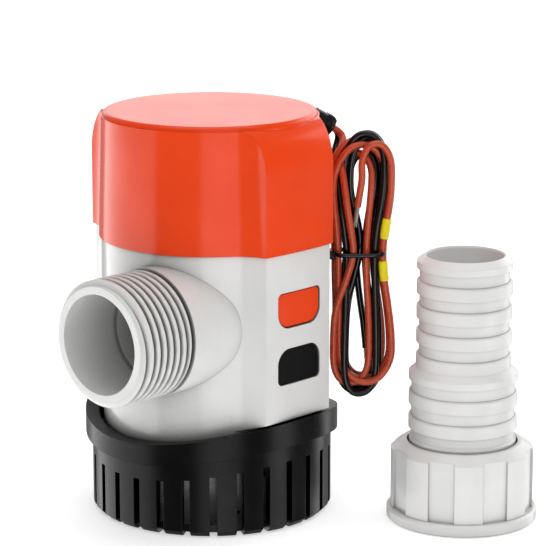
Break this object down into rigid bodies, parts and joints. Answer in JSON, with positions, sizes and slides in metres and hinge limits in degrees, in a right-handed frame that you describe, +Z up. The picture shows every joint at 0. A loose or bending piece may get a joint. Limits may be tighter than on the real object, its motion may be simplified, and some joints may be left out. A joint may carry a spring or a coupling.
{
  "type": "bilge pump",
  "caption": "Submersible centrifugal bilge pump with a clip-in motor cartridge, a clipped strainer, tied supply leads and a screw-on barbed hose adapter.",
  "frame": {"origin": "centre of the strainer's underside, on the surface that the pump stands on", "axes": "+Z up along the rotor's axis, -Y out of the outlet, +X and -X through the two latch faces"},
  "size_m": [0.1123, 0.1067, 0.1086],
  "materials": {
    "white_abs": "gloss moulded ABS",
    "orange_abs": "gloss moulded ABS",
    "black_pp": "satin moulded",
    "grey_abs": "satin moulded",
    "nitrile": "matte",
    "plated_steel": "zinc plated",
    "stainless_steel": "ground",
    "sintered_bronze": "matte",
    "ferrite": "matte",
    "carbon": "matte",
    "enamelled_copper": "varnished",
    "brown_pvc": "satin extruded",
    "black_pvc": "satin extruded",
    "yellow_pvc": "satin",
    "tinned_copper": "tinned strand",
    "white_nylon": "satin moulded"
  },
  "bodies": {
    "pump": {"strainer_cup": "black_pp", "pump_housing": "white_abs", "outlet_spigot": "white_abs", "suction_plate": "white_abs", "plate_screws": "stainless_steel", "motor_cover": "orange_abs", "motor_barrel": "grey_abs", "barrel_o_ring": "nitrile", "shaft_seal": "nitrile", "motor_can": "plated_steel", "motor_end_bell": "black_pp", "lower_bush": "sintered_bronze", "upper_bush": "sintered_bronze", "magnet_right": "ferrite", "magnet_left": "ferrite", "brush_right": "carbon", "brush_left": "carbon", "brush_springs": "sintered_bronze", "motor_terminals": "sintered_bronze", "cable_gland": "black_pvc", "lead_brown": "brown_pvc", "lead_black": "black_pvc", "lead_hank": "black_pvc", "hank_tie": "black_pvc", "marker_sleeve_upper": "yellow_pvc", "marker_sleeve_lower": "yellow_pvc", "wire_end_brown": "tinned_copper", "wire_end_black": "tinned_copper"},
    "rotor": {"motor_shaft": "stainless_steel", "armature_core": "plated_steel", "armature_windings": "enamelled_copper", "commutator": "enamelled_copper", "impeller": "black_pp"},
    "cartridge_latch_right": {"cartridge_latch_right": "orange_abs"},
    "cartridge_latch_left": {"cartridge_latch_left": "orange_abs"},
    "strainer_latch_right": {"strainer_latch_right": "black_pp"},
    "strainer_latch_left": {"strainer_latch_left": "black_pp"},
    "hose_adapter": {"adapter_tail": "white_nylon", "nut_washer": "nitrile"},
    "union_nut": {"union_nut": "white_nylon"}
  },
  "joints": [
    {"name": "rotor_spin", "type": "hinge", "parent": "pump", "child": "rotor", "pos_m": [0, 0, 0.06], "axis": [0, 0, 1], "continuous": true},
    {"name": "cartridge_latch_right_press", "type": "hinge", "parent": "pump", "child": "cartridge_latch_right", "pos_m": [0.0291, 0, 0.078], "axis": [0, 1, 0], "range_deg": [0, 5.5], "stiffness_Nm_per_rad": 0.6},
    {"name": "cartridge_latch_left_press", "type": "hinge", "parent": "pump", "child": "cartridge_latch_left", "pos_m": [-0.0291, 0, 0.078], "axis": [0, -1, 0], "range_deg": [0, 5.5], "stiffness_Nm_per_rad": 0.6},
    {"name": "strainer_latch_right_press", "type": "hinge", "parent": "pump", "child": "strainer_latch_right", "pos_m": [0.0291, 0, 0.021], "axis": [0, -1, 0], "range_deg": [0, 4.3], "stiffness_Nm_per_rad": 0.6},
    {"name": "strainer_latch_left_press", "type": "hinge", "parent": "pump", "child": "strainer_latch_left", "pos_m": [-0.0291, 0, 0.021], "axis": [0, 1, 0], "range_deg": [0, 4.3], "stiffness_Nm_per_rad": 0.6},
    {"name": "adapter_lift", "type": "slide", "parent": "pump", "child": "hose_adapter", "axis": [0, 0, 1], "range_m": [0, 0.05]},
    {"name": "union_nut_spin", "type": "hinge", "parent": "hose_adapter", "child": "union_nut", "pos_m": [0.058, 0.0366, 0.01], "axis": [0, 0, 1], "continuous": true}
  ]
}
